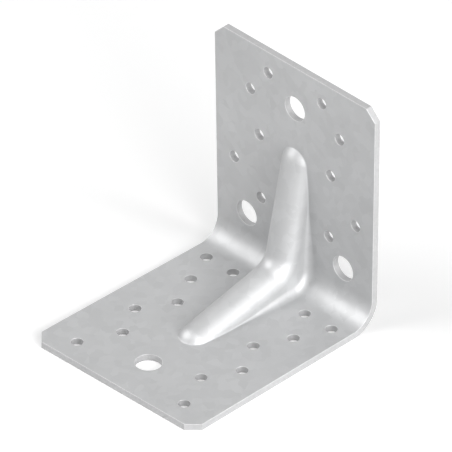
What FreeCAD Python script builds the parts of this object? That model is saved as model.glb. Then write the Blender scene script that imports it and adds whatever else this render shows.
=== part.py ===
import FreeCAD, Part
import Sketcher
import math
import os

from FreeCAD import Placement, Rotation, Vector

# Nail-on angle bracket, pressed from one piece of galvanised sheet. Sizes are millimetres.
#
# X runs along the bend. The base leg lies on z = 0 with its free end toward -Y, and the wall
# leg stands at +Y with its back face outermost. The origin is the middle of the footprint.
# Both legs are alike up to their holes. What they share is drawn on the wall leg and
# mirrored in the mitre, the plane at 45 degrees through the line where the two inner faces
# would meet.
#
# The sheet is the space between two forms. The inner form carries the faces that the legs
# turn to each other, with the rib standing up from them. The outer form is the same form
# one sheet thickness further back: its convex radii are smaller and its hollow radii larger
# by that thickness, so the wall is even and the rib is open behind. Only the foot of the rib
# is fuller toward the bend, where its hollow widens in front alone.

doc = FreeCAD.newDocument("angle_bracket")

# Driving dimensions
SIZES = {
    "sheet": 3.0,             # thickness
    "leg": 105.0,             # either leg, from its free end to the outside of the other
    "width": 90.0,            # along the bend, at the free ends
    "side_taper": 1.1,        # degrees that each side leans in toward the bend
    "corner_cut": 5.0,        # 45 degree cut at each free corner
    "bend_radius": 10.0,      # inside of the bend
    # The rib is the track of a ball-nosed punch that leans out from each leg and turns
    # between them
    "rib_reach": 58.85,       # centre of the nose, over the outside of the other leg
    "rib_sink": 3.35,         # how far that centre lies behind the leg's inner face
    "rib_slope": 12.25,       # degrees between crest and leg
    "rib_crown": 7.6,         # radius of the crown and of the nose, and half the width
    "rib_turn": 5.85,         # hollow of the crest in the turn
    "foot_radius": 0.6,       # hollow between rib and leg, round the nose
    "foot_in_bend": 3.6,      # the same in the bend, reached evenly along the flanks
    "nail_hole": 5.0,
    "bolt_hole": 11.0,
    "bolt_from_end": 20.0,    # bolt hole on the centre line of each leg
    "wall_bolt_across": 27.0,  # pair of bolt holes beside the rib, from the centre line
    "wall_bolt_up": 21.0,      # and from the underside
}

# Nail holes come in mirrored pairs: distance from the centre line, then distance along the
# leg. Pairs near the free end are set out from that end and the others from the heel, the
# outside of the other leg.
WALL_PAIRS_FROM_END = {"wall_top": (15.0, 10.0), "wall_second": (25.0, 22.5)}
WALL_PAIRS_FROM_HEEL = {
    "wall_third": (20.0, 62.5),
    "wall_fourth": (34.0, 45.0),
    "wall_low": (19.0, 32.5),
}
BASE_PAIRS_FROM_END = {"base_tip": (30.0, 10.0), "base_second": (22.0, 27.5)}
BASE_PAIRS_FROM_HEEL = {
    "base_third": (30.0, 62.5),
    "base_fourth": (21.25, 47.5),
    "base_fifth": (28.75, 32.5),
    "base_near": (20.0, 17.5),
    "base_wide": (35.0, 17.5),
}

sizes = doc.addObject("Spreadsheet::Sheet", "sizes")
for pairs in (WALL_PAIRS_FROM_END, WALL_PAIRS_FROM_HEEL, BASE_PAIRS_FROM_END, BASE_PAIRS_FROM_HEEL):
    for pair, (across, along) in pairs.items():
        SIZES[f"{pair}_across"] = across
        SIZES[f"{pair}_along"] = along
for row, (alias, value) in enumerate(SIZES.items(), 1):
    sizes.set(f"A{row}", alias)
    sizes.set(f"B{row}", str(value))
    sizes.setAlias(f"B{row}", alias)
doc.recompute()

# Places and lengths that several features share, as expressions
INNER_Y = "(sizes.leg / 2 - sizes.sheet)"   # inner face of the wall leg
INNER_Z = "sizes.sheet"                     # inner face of the base leg
ROOT = "(3 * sizes.rib_crown)"              # depth of the punch under its axis, inside the form
MARGIN = "(4 * sizes.sheet)"                # what the forms have over, for trimming
BACKING = "(sizes.leg / 2)"                 # metal of a form behind the sheet
TOUCH = 0.001                               # millimetres within which two places are one

# The punch's axis runs straight from the centre of the nose toward the mitre and leaves that
# line for the turn
HALF_TURN = "(45 - sizes.rib_slope)"
TURN_RADIUS = "(sizes.rib_turn + sizes.rib_crown)"
TO_MITRE = (
    "((sizes.rib_reach - sizes.sheet + sizes.rib_sink)"
    " / (cos(sizes.rib_slope) + sin(sizes.rib_slope)))"
)
STRAIGHT = f"({TO_MITRE} - {TURN_RADIUS} * tan({HALF_TURN}))"


def size(alias):
    """A size as it stands in the sheet."""
    return float(sizes.get(alias))


def number(text):
    """The present value of an expression on the sheet."""
    value = sizes.evalExpression(text)
    return float(getattr(value, "Value", value))


def check(feature):
    """Stops at a feature that did not compute."""
    doc.recompute()
    failed = {"Invalid", "Error"} & set(feature.State)
    if failed or feature.Shape.isNull() or not feature.Shape.isValid():
        raise RuntimeError(f"{feature.Label} did not compute")
    return feature


def new_sketch(body, name, role):
    """A sketch on one of the body's own origin planes."""
    sketch = body.newObject("Sketcher::SketchObject", name)
    plane = next(item for item in body.Origin.OriginFeatures if item.Role == role)
    sketch.AttachmentSupport = [(plane, "")]
    sketch.MapMode = "FlatFace"
    return sketch


def bind(sketch, name, constraint, text):
    """Adds a constraint and drives it with an expression."""
    index = sketch.addConstraint(constraint)
    sketch.renameConstraint(index, name)
    sketch.setExpression(f"Constraints.{name}", text)


def pin(sketch, geometry, end, name, across=None, up=None):
    """Holds one point of a piece of geometry at expressions for its two coordinates."""
    if across is not None:
        place = Sketcher.Constraint("DistanceX", -1, 1, geometry, end, number(across))
        bind(sketch, f"{name}_across", place, across)
    if up is not None:
        place = Sketcher.Constraint("DistanceY", -1, 1, geometry, end, number(up))
        bind(sketch, f"{name}_up", place, up)


def outline(sketch, corners):
    """A run of lines through named corners, each corner held by two expressions."""
    points = [Vector(number(across), number(up), 0) for _, across, up in corners]
    for index, (name, across, up) in enumerate(corners[:-1]):
        sketch.addGeometry(Part.LineSegment(points[index], points[index + 1]))
        if index:
            sketch.addConstraint(Sketcher.Constraint("Coincident", index - 1, 2, index, 1))
        pin(sketch, index, 1, name, across, up)


def close_outline(sketch, corners):
    """The same run, brought back to its first corner."""
    outline(sketch, corners)
    last = len(corners) - 1
    points = [Vector(number(across), number(up), 0) for _, across, up in (corners[-1], corners[0])]
    sketch.addGeometry(Part.LineSegment(*points))
    sketch.addConstraint(Sketcher.Constraint("Coincident", last - 1, 2, last, 1))
    sketch.addConstraint(Sketcher.Constraint("Coincident", last, 2, 0, 1))
    pin(sketch, last, 1, *corners[-1])


def add_angle(body, behind):
    """The L of solid metal behind one side of the sheet, with the bend in its corner."""
    bend_y = f"{INNER_Y} - sizes.bend_radius"
    bend_z = f"{INNER_Z} + sizes.bend_radius"
    wall = f"{INNER_Y} + {behind}"
    base = f"{INNER_Z} - {behind}"
    corners = [
        ("bend_top", wall, bend_z),
        ("top", wall, f"sizes.leg + {MARGIN}"),
        ("top_back", f"sizes.leg / 2 + {BACKING}", f"sizes.leg + {MARGIN}"),
        ("heel", f"sizes.leg / 2 + {BACKING}", f"-{BACKING}"),
        ("tip_under", f"-sizes.leg / 2 - {MARGIN}", f"-{BACKING}"),
        ("tip", f"-sizes.leg / 2 - {MARGIN}", base),
        ("bend_tip", bend_y, base),
    ]
    sketch = new_sketch(body, f"{body.Name}_profile", "YZ_Plane")
    outline(sketch, corners)
    last = len(corners) - 2
    centre = Vector(number(bend_y), number(bend_z), 0)
    circle = Part.Circle(centre, Vector(0, 0, 1), size("bend_radius") + number(behind))
    bend = sketch.addGeometry(Part.ArcOfCircle(circle, -math.pi / 2, 0))
    sketch.addConstraint(Sketcher.Constraint("Coincident", last, 2, bend, 1))
    sketch.addConstraint(Sketcher.Constraint("Coincident", bend, 2, 0, 1))
    pin(sketch, bend, 3, "bend_centre", bend_y, bend_z)
    sketch.addConstraint(Sketcher.Constraint("Vertical", bend, 1, bend, 3))
    angle = body.newObject("PartDesign::Pad", f"{body.Name}_angle")
    angle.Profile = sketch
    angle.Midplane = True
    angle.setExpression("Length", f"sizes.width + 2 * {MARGIN}")
    return check(angle)


def punch_sketch(body, name, along):
    """A sketch square to the punch's axis, at a distance along it from the nose's centre."""
    sketch = new_sketch(body, name, "XZ_Plane")
    sketch.AttachmentOffset = Placement(Vector(), Rotation(Vector(1, 0, 0), 90))
    up = f"sizes.rib_reach - {along} * cos(sizes.rib_slope)"
    back = f"{INNER_Y} + sizes.rib_sink - {along} * sin(sizes.rib_slope)"
    sketch.setExpression("AttachmentOffset.Base.y", up)
    sketch.setExpression("AttachmentOffset.Base.z", f"-({back})")
    sketch.setExpression("AttachmentOffset.Rotation.Angle", "90 - sizes.rib_slope")
    return sketch


def crown_and_flank(sketch, behind, sweep):
    """The crown, as far round as asked, and the right flank from its root up to it."""
    radius = size("rib_crown") - number(behind)
    root = -number(ROOT)
    flank = sketch.addGeometry(Part.LineSegment(Vector(radius, root, 0), Vector(radius, 0, 0)))
    circle = Part.Circle(Vector(), Vector(0, 0, 1), radius)
    crown = sketch.addGeometry(Part.ArcOfCircle(circle, 0, sweep))
    sketch.addConstraint(Sketcher.Constraint("Coincident", crown, 3, -1, 1))
    sketch.addConstraint(Sketcher.Constraint("Tangent", flank, 2, crown, 1))
    sketch.addConstraint(Sketcher.Constraint("Vertical", flank))
    pin(sketch, flank, 1, "root", up=f"-{ROOT}")
    bind(sketch, "crown", Sketcher.Constraint("Radius", crown, radius), f"sizes.rib_crown - {behind}")
    return flank, crown


def rib_section(body, name, behind, along):
    """The whole section of the punch at a place along its axis, closed under the root."""
    sketch = punch_sketch(body, name, along)
    right, crown = crown_and_flank(sketch, behind, math.pi)
    top = sketch.getPoint(crown, 2)
    root = sketch.getPoint(right, 1)
    left = sketch.addGeometry(Part.LineSegment(top, Vector(top.x, root.y, 0)))
    under = sketch.addGeometry(Part.LineSegment(Vector(top.x, root.y, 0), root))
    sketch.addConstraint(Sketcher.Constraint("Tangent", crown, 2, left, 1))
    sketch.addConstraint(Sketcher.Constraint("Coincident", left, 2, under, 1))
    sketch.addConstraint(Sketcher.Constraint("Coincident", under, 2, right, 1))
    sketch.addConstraint(Sketcher.Constraint("Vertical", left))
    sketch.addConstraint(Sketcher.Constraint("Horizontal", under))
    return sketch


def add_rib(body, behind):
    """The rib: a straight bar with a ball nose on either leg, and the turn between them."""
    bar = body.newObject("PartDesign::Pad", f"{body.Name}_rib")
    bar.Profile = rib_section(body, f"{body.Name}_rib_section", behind, "0")
    bar.setExpression("Length", STRAIGHT)
    check(bar)

    turned = rib_section(body, f"{body.Name}_turn_section", behind, STRAIGHT)
    left = Vector(-size("rib_crown"), number(TURN_RADIUS), 0)
    right = Vector(size("rib_crown"), number(TURN_RADIUS), 0)
    axis = turned.addGeometry(Part.LineSegment(left, right), True)
    pin(turned, axis, 1, "axis_left", "-sizes.rib_crown", TURN_RADIUS)
    pin(turned, axis, 2, "axis_right", "sizes.rib_crown", TURN_RADIUS)
    turn = body.newObject("PartDesign::Revolution", f"{body.Name}_turn")
    turn.Profile = turned
    turn.ReferenceAxis = (turned, ["Axis0"])
    turn.Reversed = True
    turn.setExpression("Angle", f"2 * {HALF_TURN}")
    check(turn)

    half = punch_sketch(body, f"{body.Name}_nose_section", "0")
    right, crown = crown_and_flank(half, behind, math.pi / 2)
    top = half.getPoint(crown, 2)
    root = half.getPoint(right, 1)
    axis = half.addGeometry(Part.LineSegment(top, Vector(0, root.y, 0)))
    under = half.addGeometry(Part.LineSegment(Vector(0, root.y, 0), root))
    half.addConstraint(Sketcher.Constraint("Coincident", crown, 2, axis, 1))
    half.addConstraint(Sketcher.Constraint("Coincident", axis, 2, under, 1))
    half.addConstraint(Sketcher.Constraint("Coincident", under, 2, right, 1))
    half.addConstraint(Sketcher.Constraint("PointOnObject", axis, 1, -2))
    half.addConstraint(Sketcher.Constraint("Vertical", axis))
    half.addConstraint(Sketcher.Constraint("Horizontal", under))
    nose = body.newObject("PartDesign::Revolution", f"{body.Name}_nose")
    nose.Profile = half
    nose.ReferenceAxis = (half, ["V_Axis"])
    nose.Angle = 180
    check(nose)

    mitre = body.newObject("PartDesign::Plane", f"{body.Name}_mitre")
    ground = next(item for item in body.Origin.OriginFeatures if item.Role == "XY_Plane")
    mitre.AttachmentSupport = [(ground, "")]
    mitre.MapMode = "FlatFace"
    mitre.AttachmentOffset = Placement(Vector(), Rotation(Vector(1, 0, 0), -45))
    mitre.setExpression("AttachmentOffset.Base.y", INNER_Y)
    mitre.setExpression("AttachmentOffset.Base.z", INNER_Z)
    both = body.newObject("PartDesign::Mirrored", f"{body.Name}_both_legs")
    both.Originals = [bar, nose]
    both.MirrorPlane = (mitre, [""])
    body.Tip = both
    return check(both)


def depths(point):
    """Distance of a point in front of the wall leg's and the base leg's inner face."""
    return number(INNER_Y) - point.y, point.z - number(INNER_Z)


def stations(edge):
    """Both ends of an edge and three points between them."""
    start, end = edge.FirstParameter, edge.LastParameter
    return [edge.valueAt(start + share * (end - start)) for share in (0, 0.25, 0.5, 0.75, 1)]


def on_foot(edge, behind):
    """True for an edge where the rib leaves the face of a leg or the bend."""
    bend = size("bend_radius")
    for point in stations(edge):
        wall, base = depths(point)
        if wall > bend and base > bend or abs(point.x) > size("rib_crown") + TOUCH:
            return False
        depth = min(wall, base)
        if max(wall, base) < bend:
            depth = bend - math.hypot(bend - wall, bend - base)
        if abs(depth + behind) > TOUCH:
            return False
    return True


def foot_chain(shape, behind):
    """The edges round the foot of the rib, in order, each with its start and end point."""
    edges = {n: edge for n, edge in enumerate(shape.Edges, 1) if on_foot(edge, behind)}
    first = min(edges)
    chain = []
    point = edges[first].firstVertex(True).Point
    while edges:
        for n, edge in edges.items():
            ends = [edge.firstVertex(True).Point, edge.lastVertex(True).Point]
            if ends[1].distanceToPoint(point) < TOUCH and n != first:
                ends.reverse()
            if ends[0].distanceToPoint(point) < TOUCH:
                break
        else:
            raise RuntimeError("the foot of the rib is not one closed loop")
        del edges[n]
        chain.append((n, *ends))
        point = ends[1]
    return chain


def make_form(name, behind, foot_in_bend):
    """One side of the sheet as a solid, set back by an expression."""
    body = doc.addObject("PartDesign::Body", name)
    add_angle(body, behind)
    add_rib(body, behind)

    def foot_radius(point):
        """Wide at the corners of the foot that lie in the bend, narrow at those beyond it."""
        in_bend = max(depths(point)) < size("bend_radius") + TOUCH
        return number(behind) + size(foot_in_bend if in_bend else "foot_radius")

    form = doc.addObject("Part::Fillet", f"{name}_foot")
    form.Base = body
    form.Edges = [
        (n, foot_radius(start), foot_radius(end))
        for n, start, end in foot_chain(body.Shape, number(behind))
    ]
    return check(form)


def make_outline():
    """The trimmed outline of the blank, as a prism square to each leg."""
    top = "sizes.leg"
    shoulder = f"{top} - sizes.corner_cut"
    side = "sizes.width / 2"
    right = [
        ("cut_top", f"{side} - sizes.corner_cut", top),
        ("cut_side", side, shoulder),
        ("foot", f"{side} - ({shoulder} + {BACKING}) * tan(sizes.side_taper)", f"-{BACKING}"),
    ]
    left = [(f"left_{name}", f"-({across})", up) for name, across, up in reversed(right)]
    body = doc.addObject("PartDesign::Body", "wall_outline")
    front = new_sketch(body, "wall_outline_front", "XZ_Plane")
    close_outline(front, right + left)
    prism = body.newObject("PartDesign::Pad", "wall_outline_prism")
    prism.Profile = front
    prism.Reversed = True
    prism.setExpression("Length", f"sizes.leg / 2 + {BACKING}")
    check(prism)
    mitre = new_sketch(body, "wall_outline_side", "YZ_Plane")
    behind = f"2 * {BACKING}"
    close_outline(mitre, [
        ("back", f"{INNER_Y} + {behind}", f"{INNER_Z} - {behind}"),
        ("front", f"{INNER_Y} - sizes.leg", f"{INNER_Z} + sizes.leg"),
        ("front_under", f"{INNER_Y} - sizes.leg", f"{INNER_Z} - {behind}"),
    ])
    cut = body.newObject("PartDesign::Pocket", "wall_outline_mitre")
    cut.Profile = mitre
    cut.Midplane = True
    cut.Type = "ThroughAll"
    check(cut)
    mirror = doc.addObject("Part::Mirroring", "base_outline")
    mirror.Source = body
    mirror.Normal = Vector(0, 1, 1)
    mirror.setExpression("Base.y", INNER_Y)
    mirror.setExpression("Base.z", INNER_Z)
    check(mirror)
    blank = doc.addObject("Part::MultiFuse", "blank_outline")
    blank.Shapes = [body, mirror]
    return check(blank)


def add_holes(body, leg, role, holes):
    """Punches the holes of one leg square through it, from its outer face inward."""
    sketch = new_sketch(body, f"{leg}_holes", role)
    if role == "XZ_Plane":
        sketch.setExpression("AttachmentOffset.Base.z", "-sizes.leg / 2")
    expected = 0.0
    for name, across, up, bore in holes:
        radius = size(bore) / 2
        centre = Vector(number(across), number(up), 0)
        circle = sketch.addGeometry(Part.Circle(centre, Vector(0, 0, 1), radius))
        bind(sketch, f"{name}_bore", Sketcher.Constraint("Diameter", circle, 2 * radius), f"sizes.{bore}")
        pin(sketch, circle, 3, name, across, up)
        expected += math.pi * radius ** 2 * size("sheet")
    before = body.Tip.Shape.Volume
    punch = body.newObject("PartDesign::Pocket", f"{leg}_punch")
    punch.Profile = sketch
    punch.Reversed = True
    punch.setExpression("Length", "2 * sizes.sheet")
    check(punch)
    if before - punch.Shape.Volume < expected / 2:
        raise RuntimeError(f"the {leg} holes miss the sheet")
    return punch


def hole_pairs(pairs, along):
    """Both holes of every pair, with the place along the leg given by a pattern."""
    return [
        (f"{pair}_{side}", f"{sign}sizes.{pair}_across", along.format(f"sizes.{pair}_along"), "nail_hole")
        for pair in pairs
        for side, sign in (("right", ""), ("left", "-"))
    ]


inner_form = make_form("inner_form", "0", foot_in_bend="foot_in_bend")
outer_form = make_form("outer_form", "sizes.sheet", foot_in_bend="foot_radius")
sheet = doc.addObject("Part::Cut", "pressed_sheet")
sheet.Base = inner_form
sheet.Tool = outer_form
check(sheet)
blank = make_outline()
trimmed = doc.addObject("Part::MultiCommon", "trimmed_sheet")
trimmed.Shapes = [sheet, blank]
check(trimmed)

bracket = doc.addObject("PartDesign::Body", "angle_bracket")
bracket.BaseFeature = trimmed
doc.recompute()
wall_holes = hole_pairs(WALL_PAIRS_FROM_END, "sizes.leg - {}")
wall_holes += hole_pairs(WALL_PAIRS_FROM_HEEL, "{}")
wall_holes += [
    ("wall_bolt", "0", "sizes.leg - sizes.bolt_from_end", "bolt_hole"),
    ("wall_bolt_right", "sizes.wall_bolt_across", "sizes.wall_bolt_up", "bolt_hole"),
    ("wall_bolt_left", "-sizes.wall_bolt_across", "sizes.wall_bolt_up", "bolt_hole"),
]
base_holes = hole_pairs(BASE_PAIRS_FROM_END, "{} - sizes.leg / 2")
base_holes += hole_pairs(BASE_PAIRS_FROM_HEEL, "sizes.leg / 2 - {}")
base_holes.append(("base_bolt", "0", "sizes.bolt_from_end - sizes.leg / 2", "bolt_hole"))
add_holes(bracket, "wall", "XZ_Plane", wall_holes)
add_holes(bracket, "base", "XY_Plane", base_holes)
bracket.Placement = Placement()
doc.recompute()

for item in doc.Objects:
    if {"Invalid", "Error"} & set(item.State):
        raise RuntimeError(f"{item.Label} did not compute")
shape = bracket.Shape
if shape.isNull() or not shape.isValid() or len(shape.Solids) != 1:
    raise RuntimeError("the bracket is not one sound solid")

os.makedirs("parts", exist_ok=True)
shape.exportStep(f"parts/{bracket.Label}.step")
print(bracket.Label, "volume", round(shape.Volume, 1), "faces", len(shape.Faces))
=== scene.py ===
import math

import bpy
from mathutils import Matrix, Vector


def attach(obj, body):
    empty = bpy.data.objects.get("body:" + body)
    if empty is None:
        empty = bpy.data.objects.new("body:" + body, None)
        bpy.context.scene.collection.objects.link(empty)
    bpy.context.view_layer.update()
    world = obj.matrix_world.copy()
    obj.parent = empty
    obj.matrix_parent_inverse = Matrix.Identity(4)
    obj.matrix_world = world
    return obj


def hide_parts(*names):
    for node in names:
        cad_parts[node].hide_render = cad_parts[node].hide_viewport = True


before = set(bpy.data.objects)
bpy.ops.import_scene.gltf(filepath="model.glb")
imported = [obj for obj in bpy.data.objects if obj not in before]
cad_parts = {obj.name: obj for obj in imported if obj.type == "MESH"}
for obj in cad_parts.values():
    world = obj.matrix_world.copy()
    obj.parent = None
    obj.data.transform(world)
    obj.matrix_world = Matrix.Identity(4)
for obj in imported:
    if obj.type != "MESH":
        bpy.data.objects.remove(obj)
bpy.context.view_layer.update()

# The bracket is one pressing of 3 mm steel sheet, zinc coated before it was cut and bent. A copy
# of its solid is welded along the seams, and its cut edges are broken by a fine bevel, as
# tumbling leaves them. The rim and the holes show the sheared steel. The bevel strips are lighter
# and glossier, which is partly rubbed wear and partly a painted highlight along the edges.
HALF_LEG = 0.0525           # from the middle of the base leg to the outside of the wall leg
BEND_END = 0.0131           # a plate is flat from this far off the outside of the other leg
RIB_SIDE = 0.0145           # the rib and its foot lie this near the middle of the bracket
RIB_END = 0.067             # and end this far from the outside of the other leg
STANDS_SQUARE = 0.3         # a cut face's normal points less than this out of the sheet
FACES_SIDEWAYS = 0.9        # and a side rim's normal points more than this to the side
WELD = 0.000002
SAME_PLANE = math.radians(0.1)
EDGE_BREAK = 0.00022
SHARP_EDGE = math.radians(50)
SMOOTH_UP_TO = math.radians(40)
LARGE_FACES_LEAD = 80       # large faces set the normals that small ones beside them share
COATED, SHEARED, RUBBED_WITH_HIGHLIGHT = 0, 1, 2

bpy.ops.object.select_all(action="DESELECT")
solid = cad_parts["angle_bracket"]
solid.select_set(True)
bpy.context.view_layer.objects.active = solid
bpy.ops.object.duplicate()
pressing = bpy.context.active_object
pressing.name = "pressed_bracket"
for key in [key for key in pressing.keys() if key.startswith("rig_")]:
    del pressing[key]
pressing.parent = None
bpy.ops.mesh.customdata_custom_splitnormals_clear()
bpy.ops.object.mode_set(mode="EDIT")
bpy.ops.mesh.select_all(action="SELECT")
bpy.ops.mesh.remove_doubles(threshold=WELD)
bpy.ops.mesh.dissolve_limited(angle_limit=SAME_PLANE)
bpy.ops.object.mode_set(mode="OBJECT")


def is_sheared(place, normal):
    """True on the rim and in the holes, where the faces stand square to the sheet."""
    up, back = place.z, HALF_LEG - place.y
    in_wall = up > back
    along = up if in_wall else back
    out_of_sheet = normal.y if in_wall else normal.z
    near_rib = abs(place.x) < RIB_SIDE and along < RIB_END
    in_flat_plate = along > BEND_END
    side_rim = abs(normal.x) > FACES_SIDEWAYS
    return not near_rib and abs(out_of_sheet) < STANDS_SQUARE and (side_rim or in_flat_plate)


def new_group(name, inputs, outputs):
    """A shader node group with its input and output sockets, and its two end nodes."""
    group = bpy.data.node_groups.new(name, "ShaderNodeTree")
    for label, value in inputs:
        socket = group.interface.new_socket(label, in_out="INPUT", socket_type="NodeSocketFloat")
        socket.default_value = value
    for label in outputs:
        group.interface.new_socket(label, in_out="OUTPUT", socket_type="NodeSocketFloat")
    return group, group.nodes.new("NodeGroupInput"), group.nodes.new("NodeGroupOutput")


def wire(tree, *pairs):
    """Links each pair of sockets in a node tree."""
    for start, end in pairs:
        tree.links.new(start, end)


# Zinc that froze on the strip: crystals a few millimetres wide, each of its own grey, under
# wide faint patches where the bath drained unevenly.
BORDER_DRIFT = 0.0022       # the most that the borders of the crystals wander, in metres
PATCH_CONTRAST = 0.035      # the most that a patch is lighter or darker than the coat
spangle, spangle_in, spangle_out = new_group(
    "zinc_spangle",
    [("Crystals per metre", 260.0), ("Contrast", 0.05)],
    ["Tone", "Mask"],
)
where = spangle.nodes.new("ShaderNodeTexCoord")
drift = spangle.nodes.new("ShaderNodeTexNoise")
drift.inputs["Scale"].default_value = 420.0
drift.inputs["Detail"].default_value = 3.0
shift = spangle.nodes.new("ShaderNodeVectorMath")
shift.operation = "MULTIPLY_ADD"
shift.inputs[1].default_value = (BORDER_DRIFT, BORDER_DRIFT, BORDER_DRIFT)
cells = spangle.nodes.new("ShaderNodeTexVoronoi")
cells.feature = "F1"
patches = spangle.nodes.new("ShaderNodeTexNoise")
patches.inputs["Scale"].default_value = 38.0
patches.inputs["Detail"].default_value = 2.0
drained = spangle.nodes.new("ShaderNodeMapRange")
drained.inputs["From Min"].default_value = 0.3
drained.inputs["From Max"].default_value = 0.7
drained.inputs["To Min"].default_value = 1.0 - PATCH_CONTRAST
drained.inputs["To Max"].default_value = 1.0 + PATCH_CONTRAST
patched_tone = spangle.nodes.new("ShaderNodeMath")
patched_tone.operation = "MULTIPLY"
crystal_lot = spangle.nodes.new("ShaderNodeSeparateColor")
crystal_tone = spangle.nodes.new("ShaderNodeMapRange")
darkest = spangle.nodes.new("ShaderNodeMath")
darkest.operation = "SUBTRACT"
darkest.inputs[0].default_value = 1.0
lightest = spangle.nodes.new("ShaderNodeMath")
lightest.operation = "ADD"
lightest.inputs[0].default_value = 1.0
wire(
    spangle,
    (where.outputs["Object"], drift.inputs["Vector"]),
    (drift.outputs["Color"], shift.inputs[0]),
    (where.outputs["Object"], shift.inputs[2]),
    (shift.outputs["Vector"], cells.inputs["Vector"]),
    (spangle_in.outputs["Crystals per metre"], cells.inputs["Scale"]),
    (cells.outputs["Color"], crystal_lot.inputs["Color"]),
    (spangle_in.outputs["Contrast"], darkest.inputs[1]),
    (spangle_in.outputs["Contrast"], lightest.inputs[1]),
    (crystal_lot.outputs["Red"], crystal_tone.inputs["Value"]),
    (darkest.outputs["Value"], crystal_tone.inputs["To Min"]),
    (lightest.outputs["Value"], crystal_tone.inputs["To Max"]),
    (where.outputs["Object"], patches.inputs["Vector"]),
    (patches.outputs["Fac"], drained.inputs["Value"]),
    (crystal_tone.outputs["Result"], patched_tone.inputs[0]),
    (drained.outputs["Result"], patched_tone.inputs[1]),
    (patched_tone.outputs["Value"], spangle_out.inputs["Tone"]),
    (crystal_lot.outputs["Green"], spangle_out.inputs["Mask"]),
)

METAL_SHARE = 0.4           # of the shading, picked to match the tones of the photograph
SHEEN_SPREAD = 0.04         # the most that a crystal's roughness differs from the mean
SKIN_DEPTH = 0.0001         # how deep the fine unevenness of the skin is, in metres


def steel(name, colour, roughness, contrast, crystals, bump):
    """Satin metal whose crystals change its tone and its sheen, with a finely uneven skin."""
    material = bpy.data.materials.new(name)
    material.use_nodes = True
    tree = material.node_tree
    shader = tree.nodes["Principled BSDF"]
    shader.inputs["Metallic"].default_value = METAL_SHARE
    shader.inputs["IOR"].default_value = 1.6
    crystal = tree.nodes.new("ShaderNodeGroup")
    crystal.node_tree = spangle
    crystal.inputs["Crystals per metre"].default_value = crystals
    crystal.inputs["Contrast"].default_value = contrast
    tint = tree.nodes.new("ShaderNodeVectorMath")
    tint.operation = "SCALE"
    tint.inputs[0].default_value = colour
    sheen = tree.nodes.new("ShaderNodeMapRange")
    sheen.inputs["To Min"].default_value = roughness - SHEEN_SPREAD
    sheen.inputs["To Max"].default_value = roughness + SHEEN_SPREAD
    spot = tree.nodes.new("ShaderNodeTexCoord")
    skin = tree.nodes.new("ShaderNodeTexNoise")
    skin.inputs["Scale"].default_value = 1500.0
    skin.inputs["Detail"].default_value = 4.0
    level = tree.nodes.new("ShaderNodeBump")
    level.inputs["Strength"].default_value = bump
    level.inputs["Distance"].default_value = SKIN_DEPTH
    wire(
        tree,
        (crystal.outputs["Tone"], tint.inputs["Scale"]),
        (tint.outputs["Vector"], shader.inputs["Base Color"]),
        (crystal.outputs["Mask"], sheen.inputs["Value"]),
        (sheen.outputs["Result"], shader.inputs["Roughness"]),
        (spot.outputs["Object"], skin.inputs["Vector"]),
        (skin.outputs["Fac"], level.inputs["Height"]),
        (level.outputs["Normal"], shader.inputs["Normal"]),
    )
    return material


zinc_coat = steel("zinc_coat", colour=(0.493, 0.497, 0.502), roughness=0.48, contrast=0.04,
                  crystals=260.0, bump=0.15)
sheared_steel = steel("sheared_steel", colour=(0.49, 0.49, 0.495), roughness=0.52, contrast=0.04,
                      crystals=900.0, bump=0.3)
# the edge strips: a lighter colour that is partly rubbed wear and partly a painted highlight
rubbed_edge_with_painted_highlight = steel("rubbed_edge_with_painted_highlight", colour=(0.62, 0.62, 0.625), roughness=0.36, contrast=0.03,
                    crystals=900.0, bump=0.1)
pressing.data.materials.clear()
for material in (zinc_coat, sheared_steel, rubbed_edge_with_painted_highlight):
    pressing.data.materials.append(material)
for face in pressing.data.polygons:
    face.material_index = SHEARED if is_sheared(face.center, face.normal) else COATED

edge_break = pressing.modifiers.new("edge_break", "BEVEL")
edge_break.width = EDGE_BREAK
edge_break.segments = 2
edge_break.limit_method = "ANGLE"
edge_break.angle_limit = SHARP_EDGE
edge_break.use_clamp_overlap = False
edge_break.loop_slide = False
# the bevel strips take the lighter material, partly wear and partly a painted highlight
edge_break.material = RUBBED_WITH_HIGHLIGHT
bpy.ops.object.modifier_apply(modifier=edge_break.name)
bpy.ops.object.shade_smooth_by_angle(angle=SMOOTH_UP_TO)
even_faces = pressing.modifiers.new("even_faces", "WEIGHTED_NORMAL")
even_faces.mode = "FACE_AREA"
even_faces.weight = LARGE_FACES_LEAD
even_faces.keep_sharp = True
bpy.ops.object.modifier_apply(modifier=even_faces.name)
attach(pressing, "root")
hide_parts("angle_bracket")

# The bracket stands on a plain white floor, which runs on into white all round. It takes the
# soft shadow, and shows white where no shadow falls.
FLOOR_SIZE = 6.0
FLOOR_DROP = 0.0001         # keeps the floor from sharing a plane with the base
FLOOR_LIFT = 0.33           # brings the lit paper up to white where it is seen
bpy.ops.mesh.primitive_plane_add(size=FLOOR_SIZE, location=(0, 0, -FLOOR_DROP))
floor = bpy.context.active_object
floor.name = "floor"
paper = bpy.data.materials.new("white_paper")
paper.use_nodes = True
sheet = paper.node_tree
matt = sheet.nodes["Principled BSDF"]
matt.inputs["Base Color"].default_value = (0.8, 0.8, 0.8, 1)
matt.inputs["Roughness"].default_value = 1.0
matt.inputs["Specular IOR Level"].default_value = 0.0
matt.inputs["Emission Color"].default_value = (1, 1, 1, 1)


def seen_directly(tree):
    """1 for what the camera, a gloss or a glass sees, and 0 for light on its way to a surface."""
    path = tree.nodes.new("ShaderNodeLightPath")
    gloss = tree.nodes.new("ShaderNodeMath")
    gloss.operation = "MAXIMUM"
    glass = tree.nodes.new("ShaderNodeMath")
    glass.operation = "MAXIMUM"
    wire(
        tree,
        (path.outputs["Is Camera Ray"], gloss.inputs[0]),
        (path.outputs["Is Glossy Ray"], gloss.inputs[1]),
        (gloss.outputs["Value"], glass.inputs[0]),
        (path.outputs["Is Transmission Ray"], glass.inputs[1]),
    )
    return glass.outputs["Value"]


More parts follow.
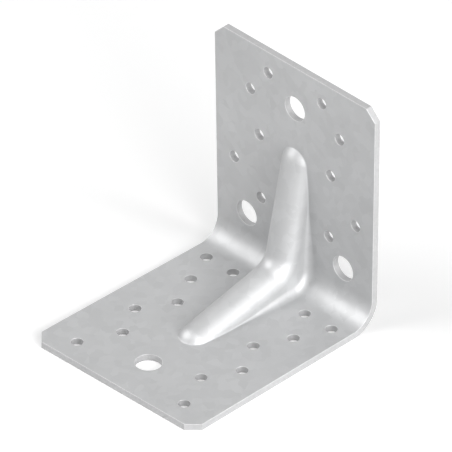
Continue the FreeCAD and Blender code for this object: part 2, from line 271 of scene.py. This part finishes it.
lift = sheet.nodes.new("ShaderNodeMath")
lift.operation = "MULTIPLY"
lift.inputs[1].default_value = FLOOR_LIFT
wire(
    sheet,
    (seen_directly(sheet), lift.inputs[0]),
    (lift.outputs["Value"], matt.inputs["Emission Strength"]),
)
floor.data.materials.append(paper)

# The room is plain and white all round. It looks white where the camera or a gloss sees it,
# and gives only a dim light of its own, so that the lamps make the shading.
ROOM_LIGHT = 0.03
ROOM_SEEN = 1.0
world = bpy.data.worlds.new("white_room")
bpy.context.scene.world = world
world.use_nodes = True
room = world.node_tree
air = room.nodes["Background"]
air.inputs["Color"].default_value = (1, 1, 1, 1)
brightness = room.nodes.new("ShaderNodeMapRange")
brightness.inputs["To Min"].default_value = ROOM_LIGHT
brightness.inputs["To Max"].default_value = ROOM_SEEN
wire(
    room,
    (seen_directly(room), brightness.inputs["Value"]),
    (brightness.outputs["Result"], air.inputs["Strength"]),
)

# Three large soft lamps: one over the viewer's left shoulder, whose sheen lies along the bend
# and the rib, one low on the right for the flanks and edges there, and one high above that.
MIDDLE = Vector((0, 0.01095, 0.04747))
LAMP_DISTANCE = 2.5
LAMP_SIDE = 2.0


def soft_lamp(name, direction, strength):
    """A square lamp far off that faces the middle of the bracket."""
    way = Vector(direction).normalized()
    bpy.ops.object.light_add(type="AREA", location=MIDDLE + way * LAMP_DISTANCE)
    lamp = bpy.context.active_object
    lamp.name = name
    lamp.data.size = LAMP_SIDE
    lamp.data.energy = strength * math.pi * LAMP_SIDE ** 2
    lamp.rotation_mode = "QUATERNION"
    lamp.rotation_quaternion = way.to_track_quat("Z", "Y")


soft_lamp("shoulder_lamp", direction=(-0.58, -0.46, 0.67), strength=3.1)
soft_lamp("side_lamp", direction=(1.0, -0.1, 0.2), strength=6.6)
soft_lamp("high_lamp", direction=(1.0, -0.2, 1.0), strength=2.8)

# The photograph is a parallel view down the diagonal of a cube, from the front on the right.
# The camera stands a metre off on that line, and the width of the view sets the scale.
VIEW_WAY = Vector((1, -1, 1)).normalized()
VIEW_WIDTH = 0.17915
bpy.ops.object.camera_add(location=MIDDLE + VIEW_WAY)
camera = bpy.context.active_object
camera.data.type = "ORTHO"
camera.data.ortho_scale = VIEW_WIDTH
camera.rotation_mode = "QUATERNION"
camera.rotation_quaternion = (camera.location - MIDDLE).to_track_quat("Z", "Y")
bpy.context.scene.camera = camera

bpy.context.scene.view_settings.view_transform = "Standard"
